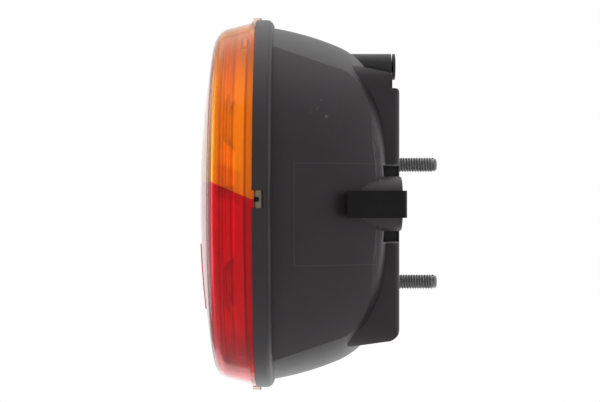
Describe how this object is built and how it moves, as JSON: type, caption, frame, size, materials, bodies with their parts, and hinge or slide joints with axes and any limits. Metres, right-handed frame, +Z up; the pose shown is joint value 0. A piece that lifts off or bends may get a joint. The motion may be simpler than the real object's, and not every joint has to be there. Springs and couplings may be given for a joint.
{
  "type": "tail light cluster",
  "caption": "Round two-colour combination rear lamp with a deep moulded housing, rear plinth with fixing studs, side connector socket and breather tube.",
  "frame": {"origin": "where the lamp's axis meets the flat mounting face on the back of the plinth", "axes": "+X out of the mounting face towards the vehicle, lens faces -X; +Z up with the amber part above the red part"},
  "size_m": [0.0899, 0.1424, 0.1424],
  "materials": {
    "black_polypropylene": "fine spark texture",
    "amber_acrylic": "clear gloss",
    "red_acrylic": "clear gloss",
    "foam_seal": "matt foam",
    "white_abs": "gloss moulded",
    "clear_glass": "clear",
    "nickel_cap": "nickel plated",
    "spring_brass": "rolled strip",
    "zinc_steel": "zinc plated",
    "black_rubber": "smooth moulded rubber",
    "black_nylon": "smooth moulded nylon"
  },
  "bodies": {
    "root": {"housing": "black_polypropylene", "amber_lens": "amber_acrylic", "red_lens": "red_acrylic", "lens_seal": "foam_seal", "reflex_reflector": "red_acrylic", "reflector_tray": "white_abs", "indicator_bulb_glass": "clear_glass", "indicator_bulb_cap": "nickel_cap", "stop_tail_bulb_glass": "clear_glass", "stop_tail_bulb_cap": "nickel_cap", "indicator_holder": "spring_brass", "stop_tail_holder": "spring_brass", "holder_springs": "zinc_steel", "indicator_contact": "spring_brass", "stop_tail_contacts": "spring_brass", "earth_strip": "spring_brass", "tray_screws": "zinc_steel", "mounting_studs": "zinc_steel", "stud_seals": "black_rubber", "connector_pins": "spring_brass", "connector_carrier": "black_nylon", "connector_seal": "black_rubber", "latch_block": "black_nylon", "breather_tube": "black_rubber", "breather_cap": "black_rubber"}
  },
  "joints": []
}
